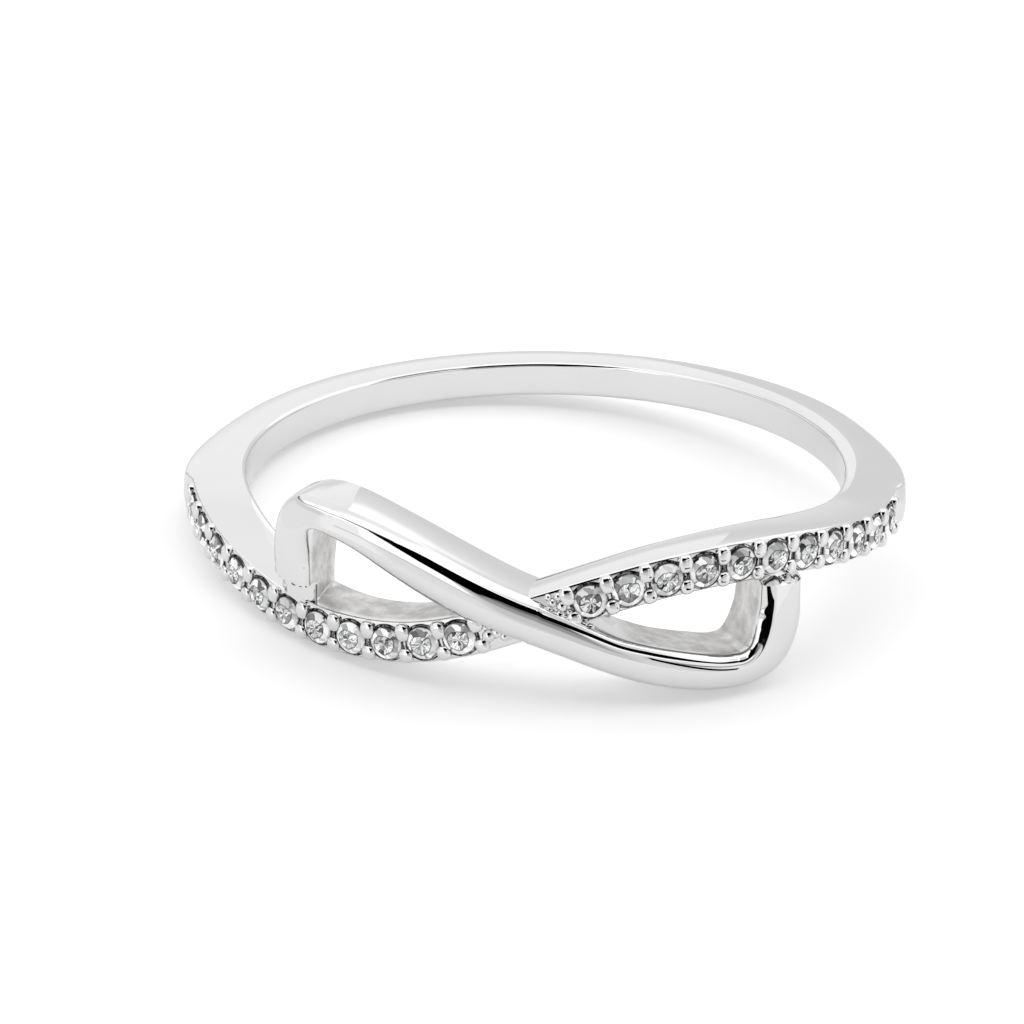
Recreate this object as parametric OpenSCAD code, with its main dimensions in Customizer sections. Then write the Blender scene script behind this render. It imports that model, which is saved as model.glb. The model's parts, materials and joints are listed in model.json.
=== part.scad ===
// Infinity ring: a band whose front carries two rows of small stones and swings down and up like a
// wave, and a plain strand that crosses in front of it, so that the two make a sideways figure eight.
// The knot is laid out flat, with along measured from the front axis and height from the ring's middle
// plane, and is then wrapped round the finger bore. The plain strand looks the same after half a turn
// about the front axis. The two rows differ a little in their swing and in where their stones start.

/* [Band] */
// Inner diameter, the finger size
inner_d = 17.3; // [15:0.1:20]
// Thickness of the plain back from the bore to the outside
shank_t = 1.42; // [1.3:0.02:1.6]
// Width of the plain back along the finger
shank_w = 1.08; // [1:0.02:1.2]
// Rounding of the plain back's outer edges
shank_edge_r = 0.28; // [0.2:0.02:0.34]
// Thickness of the band just past the rows, where it is not cut away for stones
end_t = 1.78; // [1.7:0.02:1.85]
// Length over which the band thins from there to the plain back
thinning = 6; // [4:0.2:8]

/* [Stone rows] */
// Thickness of the front from the bore to the edge of its outer face
row_t = 1.58; // [1.5:0.02:1.64]
// Rounding of the rows' outer edges
row_edge_r = 0.12; // [0.08:0.01:0.16]
// Rise of the outer face in its middle
crown = 0.05; // [0.02:0.01:0.08]
// How far the left row swings below the ring's middle plane
left_swing = 1.18; // [1:0.02:1.2]
// How far the right row swings above the ring's middle plane
right_swing = 1.02; // [0.9:0.02:1.2]
// Girdle diameter of a stone
stone_d = 0.95; // [0.85:0.01:1]
// Stones in each row
stones_per_row = 11; // [9:1:12]
// Gap between the two stones next to the crossing
stone_gap = 0.09; // [0.08:0.01:0.12]
// What each gap has more than the one before it
gap_growth = 0.022; // [0:0.002:0.024]
// From the crossing to the first stone of the left row
left_start = 1.93; // [1.9:0.05:2.1]
// From the crossing to the first stone of the right row
right_start = 1.52; // [1.5:0.05:1.7]
// Metal beside a stone, on each side of the row
seat_rim = 0.11; // [0.08:0.005:0.13]
// Clear space between a stone and its seat
seat_clearance = 0.02; // [0.01:0.005:0.03]
// Diameter of a prong bead
bead_d = 0.39; // [0.34:0.01:0.4]

/* [Plain strand] */
// Thickness from the bore to the outer face
plain_t = 1.98; // [1.85:0.02:2.1]
// Width at the crossing
plain_w = 1.2; // [1:0.05:1.3]
// Depth over which its outer face rounds off into its sides
shoulder = 0.55; // [0.4:0.05:0.7]
// From the front axis to the far side of a loop
knot_half = 7.6; // [7.2:0.1:8]
// From the middle plane to the top or foot of a loop
knot_reach = 2.5; // [2.4:0.05:2.7]
// Radius of a loop's round end, on the strand's middle line
loop_r = 1.42; // [1.3:0.02:1.5]
// Slope of the strand where it crosses the rows
cross_slope = 20.5; // [18:0.5:24]

/* [Hidden] */
ROWS = ["left", "right"];
STONES = [for (row = ROWS, i = [1:stones_per_row]) str("stone_", row, i < 10 ? "_0" : "_", i)];

bore_r = inner_d / 2;
layout_r = bore_r + row_t;
row_w = stone_d + 2 * seat_rim;
turn = 180 / PI / layout_r;

// Round brilliant: heights above the girdle and radii as shares of the girdle's
girdle_r = stone_d / 2;
table_r = 0.58 * girdle_r;
star_r = 0.78 * girdle_r;
lower_r = 0.3 * girdle_r;
crown_h = 0.15 * stone_d;
girdle_h = 0.03 * stone_d;
pavilion_h = 0.42 * stone_d;
half_facet = 180 / 8;
// How far a stone's girdle and a bead's middle lie above the edge of the rows' outer face
girdle_lift = 0.02;
bead_lift = 0.03;
// Length of the step that ends the rows' cut
end_step = 0.35;

// Wave of the stone rows: along as a share of knot_half, swing as a share of its row's swing
WAVE = [
    [0, 0], [0.24, 0.55], [0.47, 0.90], [0.71, 1], [0.95, 0.89],
    [1.18, 0.63], [1.42, 0.34], [1.65, 0.11], [1.89, 0.02], [2.13, 0], [5, 0],
];
// Half widths of the plain strand at each stage of its half path (crossing to loop 0-1, loop 1-2,
// leg 2-3): towards the opening and away from it, as shares of half of plain_w
pinch = 0.84;
leg_share = 1.06;
WIDTH = [
    [0, 1, 1], [0.5, 0.98, 0.98], [0.8, 0.86, 0.87], [1, 0.82, pinch], [1.25, 0.66, 0.9],
    [1.5, 0.58, 0.97], [1.75, 0.76, 1.03], [2, 1.02, leg_share], [3, 1.02, leg_share],
];
// How much the openings widen towards the finger on each side
draft = 0.17;

// Bezier pulls of the strand between crossing and loop, as shares of the distance
cross_pull = 0.38;
loop_pull = 0.32;
// Share of the turn round the bore that the strand's sides follow; they are cut nearly straight
// through from the front
side_turn = 0.5;
// Squareness of the strand's outer face, where 2 is an ellipse
squareness = 2.5;
// How deep a leg's end lies under the row's outer face
leg_sink = 0.6;
// Share of the leg over which it sinks
sink_share = 0.08;

// Sections along the crossing, round a loop and across the strand's outer face, the angles between
// the band's sections at the front and at the back, and the length over which a slope is measured
BEZIER_STEPS = 13;
ARC_STEPS = 9;
FACE_STEPS = 9;
front_step = 2.5;
back_step = 5;
slope_run = 0.1;
arc_middle = 1 - cos(45);

// Smooth curve through a table's rows: column c at x in the first column
function row_at(table, x, i = 0) =
    i + 2 >= len(table) || x < table[i + 1][0] ? i : row_at(table, x, i + 1);
function rise(table, i, c) =
    let (a = table[max(i - 1, 0)], b = table[min(i + 1, len(table) - 1)])
    (b[c] - a[c]) / (b[0] - a[0]);
function curve(table, x, c = 1) =
    let (
        i = row_at(table, x),
        a = table[i],
        b = table[i + 1],
        w = b[0] - a[0],
        t = (x - a[0]) / w
    )
    a[c] * (1 - t) ^ 2 * (1 + 2 * t) + b[c] * t ^ 2 * (3 - 2 * t)
    + w * t * (1 - t) * (rise(table, i, c) * (1 - t) - rise(table, i + 1, c) * t);
function ease(t) = let (c = max(0, min(1, t))) c * c * (3 - 2 * c);

// Middle line of the stone rows
function row_height(along) =
    (along < 0 ? -left_swing : right_swing) * curve(WAVE, abs(along) / knot_half);
function row_slope(along) =
    atan((row_height(along + slope_run / 2) - row_height(along - slope_run / 2)) / slope_run);
function gap(i) = stone_gap + gap_growth * i;
function stone_along(start, i) =
    i == 0 ? start
    : let (before = stone_along(start, i - 1), pitch = stone_d + gap(i - 1))
      before + pitch * cos(row_slope(before + pitch / 2));
function row_start(row) = row == "left" ? left_start : right_start;
function row_side(row) = row == "left" ? -1 : 1;
row_end = max([for (row = ROWS) stone_along(row_start(row), stones_per_row - 1)]) + stone_d;

// Position and directions on the wrapped layout
function wrap(along, height, r) = [r * sin(along * turn), -r * cos(along * turn), height];
function across(along, slope) =
    [-sin(slope) * cos(along * turn), -sin(slope) * sin(along * turn), cos(slope)];
function outward(angle) = [sin(angle), -cos(angle), 0];

// Cross-section of the band at one place: half widths and radii, from one bore side to the other.
// The rows lie in a shallow cut that ends in a step past the last stone.
function past_rows(along, run) = ease((abs(along) - row_end) / run);
function band_value(along, row, shank) = row + (shank - row) * past_rows(along, thinning);
function band_t(along) =
    row_t + (end_t - row_t) * past_rows(along, end_step)
    + (shank_t - end_t) * past_rows(along, thinning);
function band_half_section(half, r, edge) = [
    [half, bore_r - edge],
    [half, r - edge],
    [half - edge * arc_middle, r - edge * arc_middle],
    [half - edge, r],
];
function mirrored(section) = [for (i = [len(section) - 1:-1:0]) [-section[i].x, section[i].y]];
function band_ring(along) =
    let (
        r = bore_r + band_t(along),
        edge = band_value(along, row_edge_r, shank_edge_r),
        half = band_half_section(band_value(along, row_w, shank_w) / 2, r, edge),
        middle = wrap(along, row_height(along), 0),
        side = across(along, row_slope(along)),
        out = outward(along * turn)
    )
    [for (p = concat(half, [[0, r + crown]], mirrored(half))) middle + p.x * side + p.y * out];
band_angles = concat(
    [for (a = [-180:back_step:-100]) a],
    [for (a = [-95:front_step:95]) a],
    [for (a = [100:back_step:175]) a]
);
band_rings = [for (a = band_angles) band_ring(a / turn)];

// Half path of the plain strand from the crossing to the end of its right leg:
// along, height, heading, stage
loop_along = knot_half - leg_share * plain_w / 2 - loop_r;
loop_height = pinch * plain_w / 2 - knot_reach;
leg_along = loop_along + loop_r;
leg_foot = loop_height + loop_r;
leg_top = row_height(leg_along);
leg_meets = (leg_top - row_w / 2 - leg_foot) / (leg_top - leg_foot);
cross_run = norm([loop_along, loop_height]);
function bezier(t) =
    let (
        p1 = cross_run * cross_pull * [cos(cross_slope), -sin(cross_slope)],
        p2 = [loop_along - cross_run * loop_pull, loop_height],
        p3 = [loop_along, loop_height]
    )
    3 * (1 - t) ^ 2 * t * p1 + 3 * (1 - t) * t ^ 2 * p2 + t ^ 3 * p3;
function bezier_heading(t) =
    let (d = bezier(min(t + 0.01, 1)) - bezier(max(t - 0.01, 0))) atan2(d.y, d.x);
half_path = concat(
    [for (i = [0:BEZIER_STEPS - 1]) let (t = i / BEZIER_STEPS) [each bezier(t), bezier_heading(t), t]],
    [for (i = [0:ARC_STEPS]) let (t = i / ARC_STEPS, a = 90 * t)
        [loop_along + loop_r * sin(a), leg_foot - loop_r * cos(a), a, 1 + t]],
    [for (t = [leg_meets / 2, leg_meets, leg_meets + sink_share, 1])
        [leg_along, leg_foot + (leg_top - leg_foot) * t, 90, 2 + t]]
);
plain_path = concat(
    [for (i = [len(half_path) - 1:-1:1]) let (p = half_path[i]) [-p[0], -p[1], p[2], p[3]]],
    half_path
);

// Cross-section of the plain strand, leaning so that its sides run nearly straight to the back
function power(v, p) = sign(v) * abs(v) ^ p;
function plain_face(left, right) = [
    for (i = [0:FACE_STEPS - 1])
    let (a = 180 * i / (FACE_STEPS - 1), p = 2 / squareness)
    [(a < 90 ? left : right) * power(cos(a), p), shoulder * (1 - power(sin(a), p))]
];
function plain_ring(place) =
    let (
        along = place[0],
        inner = plain_w / 2 * curve(WIDTH, place[3], 1),
        outer = plain_w / 2 * curve(WIDTH, place[3], 2),
        left = along > 0 ? inner : outer,
        right = along > 0 ? outer : inner,
        side = across(along, place[2]),
        out = outward(side_turn * along * turn),
        sink = (plain_t - row_t + leg_sink) * ease((place[3] - 2 - leg_meets) / sink_share),
        middle = wrap(along, place[1], bore_r + plain_t) - sink * out,
        deep = plain_t + bore_r * (1 - cos(knot_half * turn * (1 - side_turn))) - sink,
        narrower = draft * ease(abs(along) / plain_w),
        section = concat(
            [[left - (along > 0 ? narrower : 0), deep]],
            plain_face(left, right),
            [[(along > 0 ? 0 : narrower) - right, deep]]
        )
    )
    [for (p = section) middle + p.x * side - p.y * out];
plain_rings = [for (place = plain_path) plain_ring(place)];

// Resting pose: the ring lies on the foot of its right loop, on the dip of its left row and on the
// lower edge of its back. up is the floor's normal as seen from the ring.
function plan(p) = [p.x, p.y];
function on_bore(outer, inner) =
    let (far = norm(plan(outer)), near = norm(plan(inner)))
    outer + (inner - outer) * (far - bore_r) / (far - near);
function lower_edge(rings) =
    [for (ring = rings) on_bore(ring[len(ring) - 2], ring[len(ring) - 1])];
dip_edge = lower_edge([for (i = [0:len(band_angles) - 1])
    if (band_angles[i] > -90 && band_angles[i] < 0) band_rings[i]]);
foot_edge = lower_edge([for (i = [0:len(plain_path) - 1]) if (plain_path[i][0] > 0) plain_rings[i]]);
function lowest(points, up) =
    let (low = min([for (p = points) p * up])) [for (p = points) if (p * up == low) p][0];
function heel(up) =
    let (r = bore_r + shank_t - shank_edge_r, away = plan(up) / norm(plan(up)))
    [-r * away.x, -r * away.y, -shank_w / 2];
function normal(a, b, c) = let (n = cross(b - a, c - a)) n / norm(n);
function settled(up, steps = 8) =
    steps == 0 ? up
    : settled(normal(lowest(foot_edge, up), heel(up), lowest(dip_edge, up)), steps - 1);
up = settled(normal([0, -bore_r, -knot_reach], [bore_r, 0, 0], [0, bore_r, 0]));

module at_rest() rotate(a = acos(up.z), v = [up.y, -up.x, 0]) children();

module swept(rings, closed) {
    n = len(rings[0]);
    m = len(rings);
    sides = [
        for (i = [0:m - (closed ? 1 : 2)], k = [0:n - 1])
        let (j = (i + 1) % m, l = (k + 1) % n)
        [i * n + k, j * n + k, j * n + l, i * n + l]
    ];
    ends = closed ? [] : [[for (k = [0:n - 1]) k], [for (k = [n - 1:-1:0]) (m - 1) * n + k]];
    polyhedron(points = [for (ring = rings) each ring], faces = concat(sides, ends));
}

// Puts its children on the outer face of the rows: x along the row, y across it, z outwards
module on_row(along, side = 0, lift = 0)
    rotate([0, 0, along * turn])
    translate([0, -layout_r, row_height(along)])
    rotate([90, 0, 0])
    rotate([0, 0, row_slope(along)])
    translate([0, side, lift])
    children();

module seat() {
    c = seat_clearance;
    rotate_extrude($fn = 32)
    polygon([
        [0, -pavilion_h - 2 * c],
        [girdle_r + c, -c],
        [girdle_r + c, girdle_h + c],
        [table_r + 2 * c, girdle_h + crown_h + c / 2],
        [table_r + 2 * c, crown_h + bead_d],
        [0, crown_h + bead_d],
    ]);
}

module seats()
    for (row = ROWS, i = [0:stones_per_row - 1])
        on_row(row_side(row) * stone_along(row_start(row), i), lift = girdle_lift) seat();

module prong_beads()
    for (row = ROWS, i = [-1:stones_per_row - 1], side = [-1, 1]) {
        start = row_start(row);
        here = i < 0 ? start - stone_d - gap(0) : stone_along(start, i);
        there = stone_along(start, i + 1);
        on_row(row_side(row) * (here + there) / 2, side * (row_w - bead_d) / 2, bead_lift)
            sphere(d = bead_d, $fn = 24);
    }

module ring_band()
    color("gainsboro")
    at_rest()
    difference() {
        union() {
            swept(band_rings, true);
            swept(plain_rings, false);
            prong_beads();
        }
        seats();
        cylinder(h = 4 * knot_reach, r = bore_r, center = true, $fn = 96);
    }

// Cone whose base has a ring of a stone's corners, and whose tip lies inside the stone or at its culet
module corners(r, base, tip, count, shift = 0)
    translate([0, 0, min(base, tip)])
    rotate([0, 0, shift])
    cylinder(h = abs(base - tip), r1 = base < tip ? r : 0, r2 = base < tip ? 0 : r, $fn = count);

module brilliant() {
    star_h = girdle_h + crown_h * (girdle_r - star_r * cos(half_facet)) / (girdle_r - table_r);
    lower_h = -pavilion_h * (girdle_r - lower_r * cos(half_facet)) / girdle_r;
    hull() {
        corners(table_r, girdle_h + crown_h, 0, 8);
        corners(star_r, star_h, 0, 8, half_facet);
        corners(girdle_r, girdle_h, -pavilion_h, 16);
        corners(girdle_r, 0, star_h, 16);
        corners(lower_r, lower_h, 0, 8, half_facet);
    }
}

module stone(row, i)
    color("aliceblue", 0.6)
    at_rest()
    on_row(row_side(row) * stone_along(row_start(row), i), lift = girdle_lift)
    brilliant();

ring_band();
for (r = [0, 1], i = [0:stones_per_row - 1])
    stone(ROWS[r], i);
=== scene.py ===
import json
import math

import bmesh
import bpy
from mathutils import Matrix, Vector


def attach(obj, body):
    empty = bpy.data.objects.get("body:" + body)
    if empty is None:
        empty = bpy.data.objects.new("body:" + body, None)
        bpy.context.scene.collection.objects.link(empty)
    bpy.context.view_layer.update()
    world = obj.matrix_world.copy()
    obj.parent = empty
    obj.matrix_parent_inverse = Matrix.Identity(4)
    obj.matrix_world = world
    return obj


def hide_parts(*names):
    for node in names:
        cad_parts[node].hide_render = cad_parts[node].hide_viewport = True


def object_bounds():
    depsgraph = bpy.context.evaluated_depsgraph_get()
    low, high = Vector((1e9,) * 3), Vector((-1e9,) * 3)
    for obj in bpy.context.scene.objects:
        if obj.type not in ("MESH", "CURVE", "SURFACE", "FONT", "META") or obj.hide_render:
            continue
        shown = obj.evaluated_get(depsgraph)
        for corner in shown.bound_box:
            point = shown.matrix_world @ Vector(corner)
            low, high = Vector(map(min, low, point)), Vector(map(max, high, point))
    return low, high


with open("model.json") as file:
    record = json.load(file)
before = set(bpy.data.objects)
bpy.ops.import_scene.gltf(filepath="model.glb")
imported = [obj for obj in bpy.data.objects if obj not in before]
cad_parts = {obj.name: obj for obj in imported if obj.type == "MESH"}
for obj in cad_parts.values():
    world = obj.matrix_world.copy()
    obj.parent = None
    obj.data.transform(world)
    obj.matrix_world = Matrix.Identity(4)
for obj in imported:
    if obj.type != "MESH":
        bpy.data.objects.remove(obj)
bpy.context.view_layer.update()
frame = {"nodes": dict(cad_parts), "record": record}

# Shank and stone strand. On the real ring this is one cast silver loop: plain and rounded at the back,
# and at the front a wave that swings down on the left and up on the right, with a flat outer face in
# which the stones are set. It is polished all over, and only the walls of the two openings stay rough.
MM = 0.001
finger_bore = frame["record"]["mounts"][0]
bore_r = finger_bore["dims"]["r_mm"] * MM
bore_axis = Vector(finger_bore["axis"])
at_rest = Vector((0, 0, 1)).rotation_difference(bore_axis).to_matrix().to_4x4()

shank_t = 1.42 * MM
shank_w = 1.08 * MM
shank_edge_r = 0.28 * MM
end_t = 1.78 * MM
thinning = 6 * MM
end_step = 0.7 * MM
row_t = 1.58 * MM
row_edge_r = 0.1 * MM
bore_edge_r = 0.12 * MM
crown = 0.04 * MM
stone_d = 0.95 * MM
seat_rim = 0.11 * MM
row_w = stone_d + 2 * seat_rim
knot_half = 7.6 * MM
left_swing = 1.18 * MM
right_swing = 1.02 * MM
side_crown = 0.03 * MM
away_crown = 0.25
layout_r = bore_r + row_t
STONES_PER_ROW = 11
stone_gap = 0.09 * MM
gap_growth = 0.022 * MM
row_starts = {-1: 1.93 * MM, 1: 1.52 * MM}

# The wave of the rows: along as a share of knot_half, swing as a share of its row's swing
WAVE = [
    (0, 0), (0.24, 0.55), (0.47, 0.90), (0.71, 1), (0.95, 0.89),
    (1.18, 0.63), (1.42, 0.34), (1.65, 0.11), (1.89, 0.02), (2.13, 0), (5, 0),
]


def curve(table, x, column=1):
    """The smooth curve through a table's rows, at x in its first column."""
    i = max(0, min(len(table) - 2, sum(1 for row in table if row[0] <= x) - 1))

    def rise(k):
        a, b = table[max(k - 1, 0)], table[min(k + 1, len(table) - 1)]
        return (b[column] - a[column]) / (b[0] - a[0])

    a, b = table[i], table[i + 1]
    w = b[0] - a[0]
    t = (x - a[0]) / w
    return (
        a[column] * (1 - t) ** 2 * (1 + 2 * t)
        + b[column] * t ** 2 * (3 - 2 * t)
        + w * t * (1 - t) * (rise(i) * (1 - t) - rise(i + 1) * t)
    )


def ease(t):
    """0 before 0, 1 past 1, and a smooth step between them."""
    t = max(0.0, min(1.0, t))
    return t * t * (3 - 2 * t)


def row_height(along):
    """How far the middle line of the rows lies above the ring's middle plane."""
    return (-left_swing if along < 0 else right_swing) * curve(WAVE, abs(along) / knot_half)


def row_slope(along, run=0.1 * MM):
    return math.atan2(row_height(along + run / 2) - row_height(along - run / 2), run)


def gap(i):
    return stone_gap + gap_growth * i


def stone_along(start, i):
    """How far from the crossing the middle of a row's stone lies."""
    along = start
    for k in range(i):
        pitch = stone_d + gap(k)
        along += pitch * math.cos(row_slope(along + pitch / 2))
    return along


row_length = max(stone_along(start, STONES_PER_ROW - 1) for start in row_starts.values()) + stone_d


def wrap(along, height, r):
    """A point of the flat layout, wrapped round the finger."""
    a = along / layout_r
    return Vector((r * math.sin(a), -r * math.cos(a), height))


def across(along, slope):
    """The direction across a strand that climbs with that slope."""
    a = along / layout_r
    return Vector((-math.sin(slope) * math.cos(a), -math.sin(slope) * math.sin(a), math.cos(slope)))


def outward(angle):
    return Vector((math.sin(angle), -math.cos(angle), 0))


def arc(x, y, r, first, last, steps):
    """Points of a round corner about x, y, between two angles in degrees."""
    angles = [math.radians(first + (last - first) * k / steps) for k in range(steps + 1)]
    return [(x + r * math.cos(a), y + r * math.sin(a)) for a in angles]


def band_section(along):
    """The band's outline at one place, as points (side, radius) from one bore edge round to the other."""
    past = abs(along) - row_length + 0.1 * MM
    thin = ease(past / thinning)
    half = (row_w + (shank_w - row_w) * thin) / 2
    edge = row_edge_r + (shank_edge_r - row_edge_r) * ease(past / (0.7 * thinning))
    r = bore_r + row_t + (end_t - row_t) * ease(past / end_step) + (shank_t - end_t) * thin
    flat = half - edge
    side = arc(half - bore_edge_r, bore_r + bore_edge_r, bore_edge_r, -90, 0, 4)
    for k in range(1, 8):
        up = bore_r + bore_edge_r + (r - edge - bore_r - bore_edge_r) * k / 8
        side.append((half + side_crown * 4 * (k / 8) * (1 - k / 8), up))
    side += arc(flat, r - edge, edge, 0, 90, 8)
    face = [(flat * k / 6, r + crown * (1 - (k / 6) ** 2)) for k in range(5, 0, -1)]
    upper = side + face
    bore = [((half - bore_edge_r) * k / 3, bore_r) for k in (-2.7, -1.5, 0, 1.5, 2.7)]
    return upper + [(0, r + crown)] + [(-x, y) for x, y in reversed(upper)] + bore


# How much lower the wall that faces away from the opening lies at the finger: along and draft, in mm
ROW_DRAFT = [(-1, 0.1), (0.5, 0.15), (2, 0.2), (4.3, 0.2), (6.5, 0.13), (9, 0.04), (11, 0), (40, 0)]


def band_ring(along):
    """One outline of the band in its place, with 1 where a wall of an opening is left rough."""
    half = row_w / 2
    draft = curve(ROW_DRAFT, abs(along) / MM) * MM
    middle = wrap(along, row_height(along), 0)
    side = across(along, row_slope(along))
    out = outward(along / layout_r)
    opening = ease((abs(along) - 1.2 * MM) / (0.2 * MM)) * ease((6.9 * MM - abs(along)) / (0.2 * MM))
    hand = 1 if along < 0 else -1
    ring = []
    for x, y in band_section(along):
        is_rough = opening if hand * x > 0.45 * row_w and y < layout_r - 0.2 * MM else 0
        if hand * x < 0:
            deep = (layout_r - min(y, layout_r)) / row_t
            x *= 1 - draft / half * deep * (1 - 4 * away_crown * (1 - deep))
        ring.append((middle + x * side + y * out, is_rough))
    return ring


def swept(rings, closed):
    """A bmesh wrapped along rings of (point, roughness), merged where it closes and capped where not."""
    bm = bmesh.new()
    rough = bm.verts.layers.float.new("rough")
    n, m = len(rings), len(rings[0])
    long_way = n if closed else n - 1
    bmesh.ops.create_grid(bm, x_segments=long_way, y_segments=m, size=1)
    for v in bm.verts:
        i = round((v.co.x + 1) / 2 * long_way) % n
        j = round((v.co.y + 1) / 2 * m) % m
        v.co, v[rough] = rings[i][j]
    bmesh.ops.remove_doubles(bm, verts=bm.verts, dist=1e-8)
    if not closed:
        bmesh.ops.holes_fill(bm, edges=[e for e in bm.edges if e.is_boundary], sides=0)
    bmesh.ops.recalc_face_normals(bm, faces=bm.faces)
    return bm


def made(name, bm):
    """A new object of that bmesh, which is freed."""
    mesh = bpy.data.meshes.new(name)
    bm.to_mesh(mesh)
    bm.free()
    obj = bpy.data.objects.new(name, mesh)
    bpy.context.scene.collection.objects.link(obj)
    return obj


BAND_STEPS = 900
band = made(
    "band",
    swept([band_ring((k / BAND_STEPS - 0.5) * 2 * math.pi * layout_r) for k in range(BAND_STEPS)], True),
)

# Seats. Each stone sits in a hole that is drilled to its shape, and round it the cutter takes off a
# bright bevel, which scallops the edges of the strand between the prongs.
girdle_lift = 0.02 * MM
girdle_r = stone_d / 2
girdle_h = 0.03 * stone_d
crown_h = 0.15 * stone_d
pavilion_h = 0.42 * stone_d
table_r = 0.58 * girdle_r
seat_clearance = 0.02 * MM
bead_d = 0.39 * MM
bead_lift = 0.03 * MM
bevel_depth = 0.09 * MM
bevel_lift = 0.03 * MM


def on_row(along, side=0.0, lift=0.0):
    """The placing of a thing on the rows' outer face: x along the row, y across it and z outwards."""
    a = along / layout_r
    slope = row_slope(along)
    x = math.cos(slope) * Vector((math.cos(a), math.sin(a), 0)) + math.sin(slope) * Vector((0, 0, 1))
    y = across(along, slope)
    z = outward(a)
    place = wrap(along, row_height(along), layout_r) + side * y + lift * z
    return Matrix((
        (x.x, y.x, z.x, place.x), (x.y, y.y, z.y, place.y), (x.z, y.z, z.z, place.z), (0, 0, 0, 1),
    ))


def stone_places():
    for hand, start in row_starts.items():
        for i in range(STONES_PER_ROW):
            yield hand * stone_along(start, i)


def turned(bm, points, place, steps=40):
    """A solid turned on the z axis from its half outline, points (radius, height), set in its place."""
    verts = [bm.verts.new((x, 0, z)) for x, z in points]
    edges = [bm.edges.new(pair) for pair in zip(verts, verts[1:])]
    spun = bmesh.ops.spin(
        bm, geom=verts + edges, cent=(0, 0, 0), axis=(0, 0, 1), angle=2 * math.pi, steps=steps, use_merge=True
    )
    found = {v for e in spun["geom_last"] if isinstance(e, bmesh.types.BMVert) for v in linked(e)}
    bmesh.ops.transform(bm, matrix=place, verts=list(found))


def marked(obj, recess=1.0):
    """The object with its faces marked as recesses, which get a darker colour with dark flecks; 2 is a pit,
    painted black as painted shade.
    """
    mesh = obj.data
    mesh.attributes.new("recess", "FLOAT", "FACE").data.foreach_set("value", [recess] * len(mesh.polygons))
    return obj


def linked(vert):
    """Every vertex that edges join to this one."""
    seen, ends = {vert}, [vert]
    while ends:
        for e in ends.pop().link_edges:
            for v in e.verts:
                if v not in seen:
                    seen.add(v)
                    ends.append(v)
    return seen


def closed(name, bm):
    """The object of a closed solid, with its seams merged and its faces turned outwards."""
    bmesh.ops.remove_doubles(bm, verts=bm.verts, dist=1e-8)
    bmesh.ops.recalc_face_normals(bm, faces=bm.faces)
    return made(name, bm)


seats = bmesh.new()
wall_r = girdle_r + seat_clearance
for along in stone_places():
    turned(
        seats,
        [
            (0, -pavilion_h - 2 * seat_clearance),
            (wall_r, -seat_clearance),
            (wall_r, girdle_h + seat_clearance),
            (table_r + 2 * seat_clearance, girdle_h + crown_h + seat_clearance / 2),
            (table_r + 2 * seat_clearance, crown_h + bead_d),
            (0, crown_h + bead_d),
        ],
        on_row(along, lift=girdle_lift),
    )
seats = marked(closed("seats", seats))

bevels = bmesh.new()
for along in stone_places():
    turned(
        bevels,
        [
            (0, -bevel_depth),
            (wall_r, -bevel_depth),
            (wall_r + 1.5 * bevel_depth, bevel_depth),
            (0, bevel_depth),
        ],
        on_row(along, lift=bevel_lift),
    )
bevels = marked(closed("bevels", bevels))

# Pits. Each row ends in a small wedge that the cutter takes out against the shank, and the solder leaves a
# few holes under the foot of the left leg. Both are painted black inside, as painted shade.
PAINTED_SHADE_PIT = 2.0
end_cut = 0.22 * MM
end_cut_at = 0.7 * MM
pit_lift = 0.05 * MM
# The solder holes: along, side, lift and size, in mm
SOLDER_HOLES = [
    (-7.2, 1, 0.06, 0.28), (-6.95, 0.98, 0.06, 0.2), (-6.72, 0.98, 0.06, 0.26), (-6.5, 0.97, 0.05, 0.22),
]
pits = bmesh.new()
for hand, start in row_starts.items():
    last = stone_along(start, STONES_PER_ROW - 1)
    turned(
        pits,
        [(0, -end_cut), (end_cut * 3, 0.6 * end_cut), (0, 0.6 * end_cut)],
        on_row(hand * (last + end_cut_at), lift=pit_lift) @ Matrix.Diagonal((0.7, 0.9, 1, 1)),
        steps=4,
    )
for along, side, lift, size in SOLDER_HOLES:
    hole = bmesh.ops.create_icosphere(pits, subdivisions=2, radius=size * MM / 2)["verts"]
    bmesh.ops.transform(pits, matrix=on_row(along * MM, side * MM, lift * MM), verts=hole)
pits = marked(closed("pits", pits), PAINTED_SHADE_PIT)

# Prong beads. Between every two stones the cutter raises a small round bead on each edge of the
# strand, and pushes it over both girdles. They are part of the strand's own metal.
prong_w = {1: 0.43 * MM, -1: 0.41 * MM}
prong_length = {1: 0.52 * MM, -1: 0.44 * MM}
prong_h = 0.34 * MM
prong_side = {1: 0.32 * MM, -1: 0.33 * MM}
prong_square = 0.8
beads = bmesh.new()
for hand, start in row_starts.items():
    for i in range(-1, STONES_PER_ROW):
        here = stone_along(start, i) if i >= 0 else start - stone_d - gap(0)
        there = stone_along(start, i + 1)
        for side in (-1, 1):
            ball = bmesh.ops.create_uvsphere(beads, u_segments=32, v_segments=18, radius=1)["verts"]
            for v in ball:
                v.co = Vector([math.copysign(abs(c) ** prong_square, c) for c in v.co])
            size = Matrix.Diagonal((prong_w[side] / 2, prong_length[side] / 2, prong_h / 2, 1))
            place = on_row(hand * (here + there) / 2, side * prong_side[side], bead_lift) @ size
            bmesh.ops.transform(beads, matrix=place, verts=ball)
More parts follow.
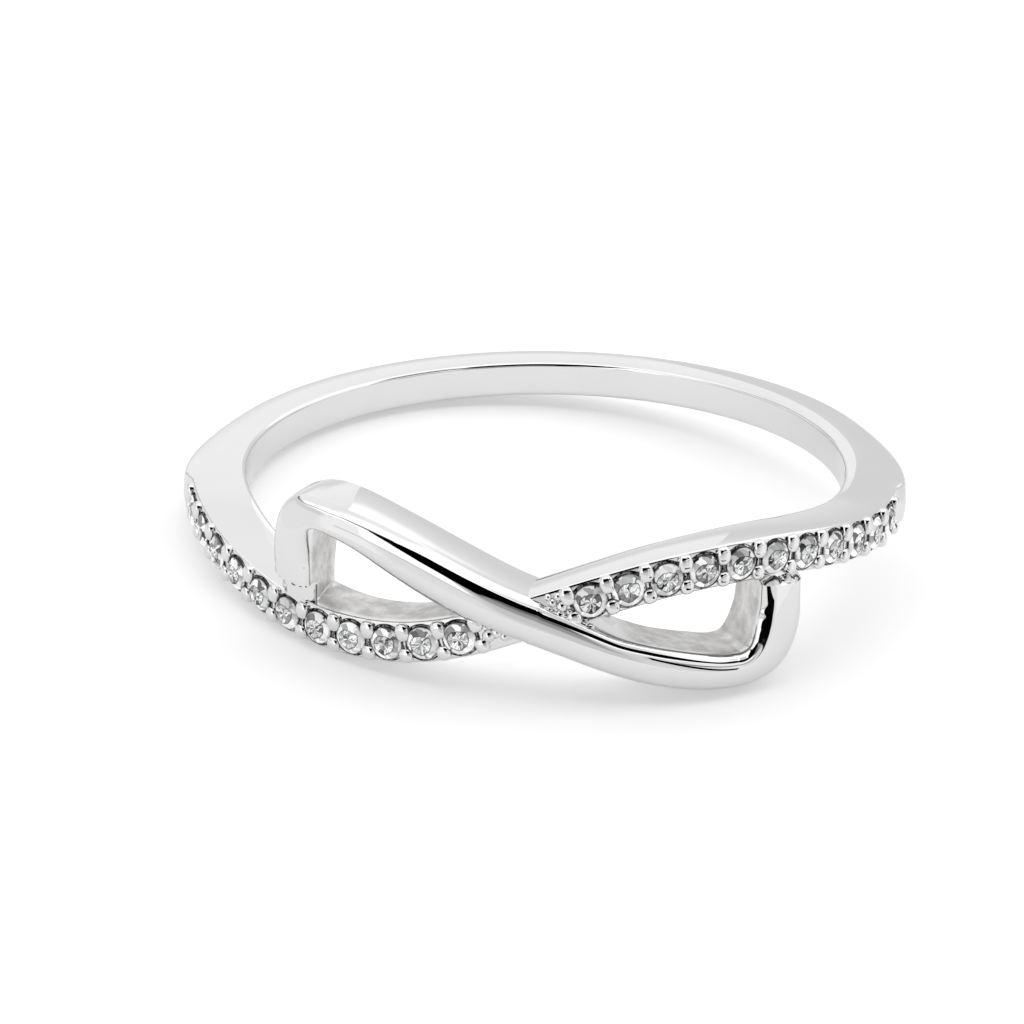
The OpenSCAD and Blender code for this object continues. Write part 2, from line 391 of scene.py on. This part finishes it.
# Towards the crossing the cutter fills the tapering end of each row with ever smaller grains:
# along, side and size, in mm
GRAINS = [
    (0.54, 0.45, 0.2), (0.6, 0.27, 0.26), (0.78, 0.39, 0.24), (0.8, 0.1, 0.32), (0.68, -0.13, 0.34),
    (0.48, 0.1, 0.22), (0.93, -0.12, 0.2), (1.18, -0.6, 0.22), (1.32, -0.72, 0.24), (1.0, -0.58, 0.2),
    (-1.18, -0.1, 0.38), (-0.96, -0.08, 0.32), (-0.82, -0.25, 0.26), (-1.12, 0.22, 0.24), (-0.68, -0.3, 0.18),
]
for along, side, size in GRAINS:
    ball = bmesh.ops.create_uvsphere(beads, u_segments=16, v_segments=10, radius=size * MM / 2)["verts"]
    bmesh.ops.transform(beads, matrix=on_row(along * MM, side * MM, bead_lift), verts=ball)
beads = made("beads", beads)

# Plain strand. A polished silver strand crosses in front of the stones and bends round at both ends
# into a leg that is soldered to the rows, so that the front reads as a sideways figure eight. Its
# outer face is domed, and its sides run straight through to the finger.
plain_t = 1.98 * MM
plain_w = 1.2 * MM
shoulder = 0.55 * MM
knot_reach = 2.5 * MM
loop_r = 1.42 * MM
cross_slope = math.radians(20.5)
pinch = 0.84
leg_share = 1.06
cross_pull = 0.38
loop_pull = 0.32
side_turn = 0.5
squareness = 2.5
leg_sink = 0.6 * MM
sink_from = 0.12 * MM
landing = 0.1 * MM
foot_at = {1: 0.09 * MM, -1: 0.6 * MM}
rim_turn = 22
inner_gap = 0.008 * MM

# At each stage of the half path (crossing to loop 0-1, loop 1-2, leg 2-3) how far the outline reaches,
# in half widths: towards the opening at the rim and at the finger, and away from it at both
RIGHT = [
    (0, 1, 1, 1.04, 1.04), (0.2, 0.88, 0.8, 1.03, 1.03), (0.35, 0.8, 0.6, 1.03, 1.03),
    (0.5, 0.88, 0.6, 1.02, 1.02), (0.65, 0.95, 0.68, 0.96, 0.96), (0.8, 0.94, 0.71, 0.92, 0.92),
    (0.95, 0.86, 0.64, 0.91, 0.91),
    (1.1, 0.8, 0.76, 0.98, 0.98), (1.25, 0.84, 0.98, 1.12, 1.12), (1.4, 1.02, 1.14, 1.3, 1.3),
    (1.55, 1.22, 1.24, 1.4, 1.4), (1.75, 1.36, 1.28, 1.36, 1.36), (2, 1.35, 1.28, 1.26, 1.26),
    (2.2, 1.26, 1.22, 1.25, 1.25), (4, 1.22, 1.2, 1.25, 1.25),
]
LEFT = [
    (0, 1, 1, 1.04, 1.04), (0.3, 1.16, 1.02, 1, 1.03), (0.5, 1.14, 1, 0.98, 0.97),
    (0.6, 1.07, 0.94, 0.96, 0.94), (0.7, 0.96, 0.86, 0.94, 0.91), (0.8, 0.8, 0.74, 0.93, 0.9),
    (0.9, 0.66, 0.62, 0.92, 0.9),
    (1, 0.52, 0.54, 0.94, 0.9), (1.1, 0.42, 0.48, 1.0, 0.92), (1.2, 0.28, 0.46, 1.12, 0.95),
    (1.3, 0.2, 0.52, 1.32, 1.05), (1.4, 0.54, 0.66, 1.43, 1.14), (1.5, 0.82, 0.82, 1.46, 1.3),
    (1.6, 1.02, 0.93, 1.4, 1.34), (1.7, 1.15, 1.03, 1.3, 1.28), (1.8, 1.23, 1.1, 1.2, 1.2),
    (2, 1.29, 1.12, 1.08, 1.08), (2.4, 1.29, 0.98, 1.06, 1.06), (4, 1.29, 0.98, 1.06, 1.06),
]
# How much lower the strand's middle runs than on the even path, in mm: stage, right, left
DROP = [
    (0, 0.13, 0.13), (0.25, 0.11, 0.13), (0.5, 0.05, 0.13), (0.75, 0, 0.12), (1, 0, 0.04),
    (1.25, 0, 0), (4, 0, 0),
]

loop_along = knot_half - leg_share * plain_w / 2 - loop_r
loop_height = pinch * plain_w / 2 - knot_reach
leg_along = loop_along + loop_r
leg_foot = loop_height + loop_r
leg_top = row_height(leg_along)
leg_meets = (leg_top - row_w / 2 - leg_foot) / (leg_top - leg_foot)
cross_run = math.hypot(loop_along, loop_height)


def bezier(t):
    """The strand's middle line from the crossing to the right loop, on the flat layout."""
    x1 = cross_run * cross_pull * math.cos(cross_slope)
    y1 = -cross_run * cross_pull * math.sin(cross_slope)
    x2 = loop_along - cross_run * loop_pull
    u = 1 - t
    x = 3 * u ** 2 * t * x1 + 3 * u * t ** 2 * x2 + t ** 3 * loop_along
    y = 3 * u ** 2 * t * y1 + 3 * u * t ** 2 * loop_height + t ** 3 * loop_height
    return x, y


def half_path():
    """Places (along, height, heading, stage) from the crossing to the end of the right leg."""
    for k in range(90):
        t = k / 90
        x, y = bezier(t)
        before, after = bezier(max(t - 0.01, 0)), bezier(min(t + 0.01, 1))
        yield x, y, math.atan2(after[1] - before[1], after[0] - before[0]), t
    for k in range(61):
        a = math.pi / 2 * k / 60
        yield loop_along + loop_r * math.sin(a), leg_foot - loop_r * math.cos(a), a, 1 + k / 60
    clear = [leg_meets * k / 16 for k in range(1, 17)]
    buried = [leg_meets + (1 - leg_meets) * k / 12 for k in range(1, 13)]
    for t in clear + buried:
        yield leg_along, leg_foot + (leg_top - leg_foot) * t, math.pi / 2, 2 + t


STEPS_IN = [k / 10 for k in range(1, 11)]


def to_bore(point, out):
    """The point moved against out until it lies on the bore."""
    r = bore_r + inner_gap
    b = point.x * out.x + point.y * out.y
    c = point.x ** 2 + point.y ** 2 - r * r
    return point - out * (b - math.sqrt(max(0.0, b * b - c)))


def settle(point):
    """How deep a leg's outer face steps down: level with the row just short of it, then into the row."""
    along = layout_r * math.atan2(point.x, -point.y)
    hand = 1 if along > 0 else -1
    past = (point.z - row_height(along)) * hand + row_w / 2
    flush = (plain_t - row_t + 0.02 * MM) * ease((past + foot_at[hand]) / landing)
    return flush + leg_sink * ease((past - sink_from) / (3 * landing))


def plain_ring(along, height, heading, stage, steps=36):
    """The strand's outline at one place, from its upper foot over the outer face to the lower foot and
    back, with 1 where the wall of an opening is left rough."""
    hand = 1 if along > 0 else -1
    width = RIGHT if along > 0 else LEFT
    opening, opening_foot, away, away_foot = (plain_w / 2 * curve(width, stage, k) for k in (1, 2, 3, 4))
    drop = curve(DROP, stage, 1 if along > 0 else 2) * MM
    side = hand * across(along, heading)
    out = outward(side_turn * along / layout_r)
    middle = wrap(along, height - drop, bore_r + plain_t)
    first = rim_turn * ease(stage / 0.5)
    face = []
    for k in range(steps + 1):
        a = math.radians(first + (180 - first) * k / steps)
        c, s = math.cos(a), math.sin(a)
        reach = (opening if c > 0 else away) * math.copysign(abs(c) ** (2 / squareness), c)
        p = middle + reach * side - shoulder * (1 - s ** (2 / squareness)) * out
        face.append((p - (settle(p) if stage > 1.6 else 0) * out, 0))
    rim = math.cos(math.radians(first)) ** (2 / squareness) * opening
    feet = [
        to_bore(face[0][0] + (opening_foot - rim) * side, out),
        to_bore(face[-1][0] - (away_foot - away) * side, out),
    ]
    is_rough = ease((stage - 0.35) / 0.1)
    rough = [(face[0][0].lerp(feet[0], t), is_rough) for t in STEPS_IN]
    smooth = [(face[-1][0].lerp(feet[1], t) - side_crown * 4 * t * (1 - t) * side, 0) for t in STEPS_IN]
    floor = []
    for k in range(1, 6):
        p = feet[1].lerp(feet[0], k / 6)
        flat = math.hypot(p.x, p.y)
        floor.append((Vector((p.x * (bore_r + inner_gap) / flat, p.y * (bore_r + inner_gap) / flat, p.z)), 0))
    ring = rough[::-1] + face + smooth + floor
    top = len(rough) + len(face) + len(smooth)
    return ring if hand > 0 else ring[:top][::-1] + floor[::-1]


right_half = list(half_path())
path = [(-x, -y, heading, stage) for x, y, heading, stage in reversed(right_half[1:])] + right_half
plain_strand = made("plain_strand", swept([plain_ring(*place) for place in path], False))


def cut(obj, tool, operation):
    """Joins a solid with another or cuts the other out of it, and keeps the result as the solid's mesh."""
    step = obj.modifiers.new(operation.lower(), "BOOLEAN")
    step.operation = operation
    step.object = tool
    step.solver = "MANIFOLD"
    mesh = bpy.data.meshes.new_from_object(obj.evaluated_get(bpy.context.evaluated_depsgraph_get()))
    obj.modifiers.clear()
    obj.data = mesh
    return obj


cut(band, bevels, "DIFFERENCE")
cut(band, plain_strand, "UNION")
cut(band, beads, "UNION")
cut(band, seats, "DIFFERENCE")
cut(band, pits, "DIFFERENCE")
for tool in (bevels, beads, plain_strand, seats, pits):
    bpy.data.objects.remove(tool)
band.data.transform(at_rest)
band.data.set_sharp_from_angle(angle=math.radians(32))
for polygon in band.data.polygons:
    polygon.use_smooth = True
shade = band.modifiers.new("even_shade", "WEIGHTED_NORMAL")
shade.keep_sharp = True
shade.weight = 80

silver = bpy.data.materials.new("polished_silver")
silver.use_nodes = True
tree = silver.node_tree
skin = tree.nodes["Principled BSDF"]
skin.inputs["Metallic"].default_value = 1


def noise(tree, place, scale, detail, roughness=0.5):
    """Cloudy noise of that fineness at the places that a socket gives."""
    node = tree.nodes.new("ShaderNodeTexNoise")
    node.inputs["Scale"].default_value = scale
    node.inputs["Detail"].default_value = detail
    node.inputs["Roughness"].default_value = roughness
    tree.links.new(place, node.inputs["Vector"])
    return node.outputs["Fac"]


def marks_of(tree, name):
    """The number that the mesh carries under that name."""
    node = tree.nodes.new("ShaderNodeAttribute")
    node.attribute_name = name
    return node.outputs["Fac"]


def blend(tree, factor, here, there):
    """Mixes two colours by a socket from 0 to 1; each is a socket, a colour or a grey."""
    node = tree.nodes.new("ShaderNodeMix")
    node.data_type = "RGBA"
    tree.links.new(factor, node.inputs["Factor"])
    for socket, value in ((node.inputs["A"], here), (node.inputs["B"], there)):
        if isinstance(value, tuple):
            socket.default_value = (*value, 1)
        elif isinstance(value, float):
            socket.default_value = (value, value, value, 1)
        else:
            tree.links.new(value, socket)
    return node.outputs["Result"]


def between(tree, value, low, high):
    """0 at the low value and 1 at the high one, eased."""
    node = tree.nodes.new("ShaderNodeMapRange")
    node.interpolation_type = "SMOOTHSTEP"
    node.inputs["From Min"].default_value = low
    node.inputs["From Max"].default_value = high
    tree.links.new(value, node.inputs["Value"])
    return node.outputs[0]


place = tree.nodes.new("ShaderNodeTexCoord").outputs["Object"]
stretched = tree.nodes.new("ShaderNodeMapping")
stretched.inputs["Scale"].default_value = (0.5, 0.5, 1)
tree.links.new(place, stretched.inputs["Vector"])
is_wall = marks_of(tree, "rough")
recess = marks_of(tree, "recess")
cloudy = between(tree, noise(tree, place, 1500, 5, 0.65), 0.35, 0.65)
wall = blend(tree, cloudy, (0.5, 0.49, 0.48), (0.74, 0.735, 0.73))
polish = between(tree, noise(tree, place, 420, 2), 0.3, 0.7)
metal = blend(tree, is_wall, blend(tree, polish, 0.775, 0.795), wall)
# Faces marked as recesses, in the seats and bevels, get a darker colour with dark flecks.
specks = between(tree, noise(tree, place, 9000, 3), 0.4, 0.56)
dark_flecks = blend(tree, specks, (0.06, 0.05, 0.04), (0.74, 0.73, 0.71))
# Pits are painted black: painted shade.
is_painted_shade_pit = between(tree, recess, 1.4, 1.6)
colour = blend(tree, is_painted_shade_pit, blend(tree, recess, metal, dark_flecks), 0.01)
tree.links.new(colour, skin.inputs["Base Color"])
dullness = blend(tree, is_wall, blend(tree, polish, 0.025, 0.045), 0.36)
tree.links.new(dullness, skin.inputs["Roughness"])
grain = tree.nodes.new("ShaderNodeBump")
grain.inputs["Distance"].default_value = 0.02 * MM
tree.links.new(is_wall, grain.inputs["Strength"])
tree.links.new(noise(tree, stretched.outputs[0], 5200, 4, 0.6), grain.inputs["Height"])
tree.links.new(grain.outputs["Normal"], skin.inputs["Normal"])
band.data.materials.clear()
band.data.materials.append(silver)
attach(band, "root")
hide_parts("ring_band")

# Stones. Round brilliants of clear zirconia, cut with a table and rings of facets, one in each seat.
# Their look is a painted reflection: each facet gets a painted brightness, star-wise inside the table and in
# a paler ring outside it, with painted dark lines and outlines, and the stone glows a little.
FACET_RINGS = 3.3
FACETS_ROUND = 16
TABLE_EDGE = 0.6


def sum_of(tree, operation, *values):
    """A node that works out one number from sockets and plain numbers."""
    step = tree.nodes.new("ShaderNodeMath")
    step.operation = operation
    for socket, value in zip(step.inputs, values):
        if isinstance(value, (int, float)):
            socket.default_value = value
        else:
            tree.links.new(value, socket)
    return step.outputs[0]


def painted_reflection_stone(name, place, seed):
    """A clear stone with a painted reflection: a random painted brightness for each facet of a pattern
    centred on it and turned with it.
    """
    gem = bpy.data.materials.new(name)
    gem.use_nodes = True
    tree = gem.node_tree
    centred = tree.nodes.new("ShaderNodeMapping")
    centred.vector_type = "TEXTURE"
    centred.inputs["Location"].default_value = place.to_translation()
    centred.inputs["Rotation"].default_value = place.to_euler()
    centred.inputs["Scale"].default_value = (girdle_r, girdle_r, girdle_r)
    tree.links.new(tree.nodes.new("ShaderNodeTexCoord").outputs["Object"], centred.inputs["Vector"])
    split = tree.nodes.new("ShaderNodeSeparateXYZ")
    tree.links.new(centred.outputs[0], split.inputs[0])
    x, y, z = split.outputs
    uneven = sum_of(tree, "SUBTRACT", noise(tree, centred.outputs[0], 1.4, 2), 0.5)
    squares = sum_of(tree, "MULTIPLY_ADD", x, x, sum_of(tree, "MULTIPLY", y, y))
    r = sum_of(tree, "SQRT", squares)
    shifted = sum_of(tree, "MULTIPLY_ADD", uneven, 0.5, r)
    angle = sum_of(tree, "MULTIPLY_ADD", uneven, 2.2, sum_of(tree, "ARCTAN2", y, x))

    ring = sum_of(tree, "FLOOR", sum_of(tree, "MULTIPLY", shifted, FACET_RINGS))
    half_turn = sum_of(tree, "MULTIPLY", ring, 0.5)
    sector = sum_of(tree, "MULTIPLY_ADD", angle, FACETS_ROUND / 2 / math.pi, half_turn)
    facet = tree.nodes.new("ShaderNodeCombineXYZ")
    tree.links.new(sum_of(tree, "FLOOR", sector), facet.inputs["X"])
    tree.links.new(ring, facet.inputs["Y"])
    facet.inputs["Z"].default_value = seed
    # Each facet gets a random brightness: a painted reflection.
    painted_facet_noise = tree.nodes.new("ShaderNodeTexWhiteNoise")
    tree.links.new(facet.outputs[0], painted_facet_noise.inputs["Vector"])
    outside = between(tree, shifted, TABLE_EDGE - 0.02, TABLE_EDGE + 0.06)
    inside = sum_of(tree, "SUBTRACT", 1, outside)
    # Outside the table the pattern is painted paler towards the stone's lower side: a painted highlight.
    painted_side_fade = sum_of(tree, "MULTIPLY_ADD", between(tree, y, -0.1, 0.5), 0.55, -0.65)
    contrast = sum_of(tree, "MULTIPLY_ADD", outside, painted_side_fade, 1.1)
    painted_facet_light = sum_of(tree, "POWER", painted_facet_noise.outputs["Value"], contrast)

    # Painted dark spokes in the table, and painted dark outlines round the table and at the girdle, stand in
    # for reflections.
    spoke = sum_of(tree, "ABSOLUTE", sum_of(tree, "SINE", sum_of(tree, "MULTIPLY", angle, 8)))
    thin_lines = sum_of(tree, "SUBTRACT", 1, between(tree, spoke, 0.05, 0.35))
    lines = sum_of(tree, "MULTIPLY", sum_of(tree, "MULTIPLY", thin_lines, inside), 0.85)
    from_edge = sum_of(tree, "ABSOLUTE", sum_of(tree, "SUBTRACT", shifted, TABLE_EDGE))
    outline = sum_of(tree, "SUBTRACT", 1, between(tree, from_edge, 0.01, 0.06))
    rim = between(tree, r, 0.9, 0.98)
    edges = sum_of(tree, "MAXIMUM", sum_of(tree, "MULTIPLY", outline, 0.8), rim)
    lit = sum_of(tree, "SUBTRACT", 1, sum_of(tree, "MAXIMUM", lines, edges))
    shade = blend(tree, sum_of(tree, "MULTIPLY", painted_facet_light, lit), (0.008, 0.008, 0.007), (0.96, 0.965, 0.97))

    skin = tree.nodes["Principled BSDF"]
    tree.links.new(shade, skin.inputs["Base Color"])
    # The painted pattern also glows a little: a painted glow.
    tree.links.new(shade, skin.inputs["Emission Color"])
    skin.inputs["Emission Strength"].default_value = 0.3
    skin.inputs["Roughness"].default_value = 0.02
    skin.inputs["IOR"].default_value = 2.16
    skin.inputs["Specular IOR Level"].default_value = 0.12
    return gem


for hand, start in row_starts.items():
    for i in range(STONES_PER_ROW):
        name = f"stone_{'left' if hand < 0 else 'right'}_{i + 1:02d}"
        node = frame["nodes"][name]
        node.data.materials.clear()
        place = at_rest @ on_row(hand * stone_along(start, i), lift=girdle_lift)
        node.data.materials.append(painted_reflection_stone(name, place, hand * (i + 1)))

# Floor. The plain white table of a product photograph. Only the ring's reflections show two more
# things: a pale round plinth under it, and a small black felt card before its right leg.
floor_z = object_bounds()[0][2]
plinth_r = 17.5 * MM
plinth_lift = 0.01 * MM
flag_at = (8 * MM, -12.1 * MM, -0.24 * MM)
flag_turn = math.radians(17)
flag_size = (3 * MM, 0.36 * MM)


def laid_out(name, cover_name, bm, grey, glow=0.0):
    """A flat thing of the studio, dull and of that grey, which may glow a little."""
    thing = made(name, bm)
    cover = bpy.data.materials.new(cover_name)
    cover.use_nodes = True
    skin = cover.node_tree.nodes["Principled BSDF"]
    skin.inputs["Base Color"].default_value = (grey, grey, grey, 1)
    skin.inputs["Roughness"].default_value = 0.9
    skin.inputs["Specular IOR Level"].default_value = 0
    skin.inputs["Emission Color"].default_value = (1, 1, 1, 1)
    skin.inputs["Emission Strength"].default_value = glow
    thing.data.materials.append(cover)
    return thing


bm = bmesh.new()
bmesh.ops.create_grid(bm, x_segments=1, y_segments=1, size=1.5, matrix=Matrix.Translation((0, 0, floor_z)))
table = laid_out("table", "white_paper", bm, 0.92, 0.26)
table.visible_glossy = False
bm = bmesh.new()
just_over = Matrix.Translation((0, 0, floor_z + plinth_lift))
bmesh.ops.create_circle(bm, cap_ends=True, segments=128, radius=plinth_r, matrix=just_over)
plinth = laid_out("plinth", "pale_paper", bm, 0.8, 0.24)
bm = bmesh.new()
flag_place = (
    Matrix.Translation(flag_at)
    @ Matrix.Rotation(flag_turn, 4, "Y")
    @ Matrix.Diagonal((flag_size[0], 1, flag_size[1], 1))
    @ Matrix.Rotation(math.pi / 2, 4, "X")
)
bmesh.ops.create_grid(bm, x_segments=1, y_segments=1, size=1, matrix=flag_place)
flag = laid_out("flag", "black_felt", bm, 0.002)
for mirrored in (plinth, flag):
    mirrored.visible_camera = False
    mirrored.visible_diffuse = False
    mirrored.visible_shadow = False
    mirrored.visible_transmission = False

# Light. Soft light comes from above and all round, the front is the unlit room round the lens, and
# cards stand about the ring: white ones, and black ones that put the dark streaks on the plain strand.
# How bright the surroundings are at each height in degrees above the horizon
BRIGHTNESS = [
    (-90, 0.5), (-60, 0.8), (-30, 0.95), (-5, 0.86), (6, 0.78), (15, 0.8), (21, 0.88), (24.5, 0.95),
    (28, 1.35), (32, 1.4), (90, 1.4),
]
# Cards: from and to in degrees round the ring (0 is the front), the lower edge's height at both, the
# upper edge's height at both, how soft the edges are, and the brightness
CARDS = [
    (-130, -66, -40, -40, 16, 16, 12, 0.95),
    (-140, -66, 14, 14, 34, 34, 10, 0.8),
    (-68, -46, -40, -40, 40, 40, 8, 1.08),
    (60, 108, -35, -35, 30, 30, 10, 1.07),
    (50, 95, 48, 48, 68, 68, 8, 0.75),
    (-200, -150, 8, 8, 34, 34, 12, 1.05),
    (-200, -120, 26, 26, 62, 62, 16, 1.02),
    (160, 200, 32, 32, 62, 62, 6, 1.05),
    (-47, -12, -9, -6, 40, 24, 3, 1.4),
    (-60, -12, -9, -9, -5.5, -6.5, 1.5, 0.65),
    (-10, 36, -16, -16, 30, 30, 9, 0.7),
    (-8, 33, 2, 2, 32, 32, 8, 0.38),
    (0, 31, 18, 18, 34, 34, 8, 0.16),
    (44, 75, 12, 13, 17, 18, 2, 0.3),
    (-152, -70, 12, 49, 16, 53, 1.5, 0.15),
    (-74, -28, 50, 53, 54, 67, 2, 0.08),
    (-46, -30, 52, 34, 53, 62, 2, 0.0),
    (-31, -19, 33, 17, 62, 66, 2, 0.0),
    (-22, -3, 20, 11, 66, 69, 2, 0.0),
    (-6, 9, 11, 30, 69, 69, 2, 0.0),
    (6, 40, 28, 31, 69, 62, 2, 0.0),
    (37, 78, 32, 30, 52, 47, 2, 0.0),
]
studio = bpy.data.worlds.new("studio")
bpy.context.scene.world = studio
studio.use_nodes = True
tree = studio.node_tree


def past_edge(value, middle, soft):
    """0 below the middle and 1 above it, with an edge that soft."""
    return between(tree, value, middle - soft / 2, middle + soft / 2)


split = tree.nodes.new("ShaderNodeSeparateXYZ")
tree.links.new(tree.nodes.new("ShaderNodeTexCoord").outputs["Generated"], split.inputs[0])
x, y, z = split.outputs
to_degrees = 180 / math.pi
height = sum_of(tree, "MULTIPLY", sum_of(tree, "ARCSINE", z), to_degrees)
from_front = sum_of(tree, "ARCTAN2", x, sum_of(tree, "MULTIPLY", y, -1))
round_it = sum_of(tree, "MULTIPLY", from_front, to_degrees)
ramp = tree.nodes.new("ShaderNodeValToRGB")
tree.links.new(sum_of(tree, "DIVIDE", sum_of(tree, "ADD", height, 90), 180), ramp.inputs[0])
for i, (h, value) in enumerate(BRIGHTNESS):
    stop = ramp.color_ramp.elements[i] if i < 2 else ramp.color_ramp.elements.new((h + 90) / 180)
    stop.position = (h + 90) / 180
    stop.color = (value, value, value, 1)
light = ramp.outputs["Color"]
for near, far, low_near, low_far, high_near, high_far, soft, value in CARDS:
    before_end = sum_of(tree, "SUBTRACT", 1, past_edge(round_it, far, soft))
    sideways = sum_of(tree, "MULTIPLY", past_edge(round_it, near, soft), before_end)
    over = []
    for here, there in ((low_near, low_far), (high_near, high_far)):
        climb = (there - here) / (far - near)
        edge = sum_of(tree, "MULTIPLY_ADD", round_it, climb, here - climb * near)
        over.append(past_edge(sum_of(tree, "SUBTRACT", height, edge), 0, soft))
    upward = sum_of(tree, "MULTIPLY", over[0], sum_of(tree, "SUBTRACT", 1, over[1]))
    light = blend(tree, sum_of(tree, "MULTIPLY", sideways, upward), light, float(value))
tree.links.new(light, tree.nodes["Background"].inputs["Color"])
bpy.context.scene.view_settings.view_transform = "Standard"

# Camera. A long lens stands 21 degrees above the ring's own plane and a little to the right of its
# front. The picture's middle lies off the ring's, so the lens is shifted.
distance = 100 * MM
lift = math.radians(21.05)
swing = math.radians(1.8)
roll = math.radians(-0.29)
focal_px = 3442
centre_px = (545.3, 478.3)
frame_px = 1024
right = Vector((math.cos(swing), math.sin(swing), 0))
back = Vector((-math.sin(swing), math.cos(swing), 0))
ahead = math.cos(lift) * back - math.sin(lift) * Vector((0, 0, 1))
above = math.sin(lift) * back + math.cos(lift) * Vector((0, 0, 1))
eye = -distance * ahead
x_axis = math.cos(roll) * right - math.sin(roll) * above
y_axis = math.sin(roll) * right + math.cos(roll) * above
lens = bpy.data.cameras.new("camera")
lens.sensor_width = 36
lens.lens = focal_px / frame_px * lens.sensor_width
lens.clip_start = 0.005
lens.shift_x = (frame_px / 2 - centre_px[0]) / frame_px
lens.shift_y = (centre_px[1] - frame_px / 2) / frame_px
camera = bpy.data.objects.new("camera", lens)
bpy.context.scene.collection.objects.link(camera)
pose = Matrix((
    (x_axis.x, y_axis.x, -ahead.x, eye.x),
    (x_axis.y, y_axis.y, -ahead.y, eye.y),
    (x_axis.z, y_axis.z, -ahead.z, eye.z),
    (0, 0, 0, 1),
))
camera.matrix_world = at_rest @ pose
bpy.context.scene.camera = camera
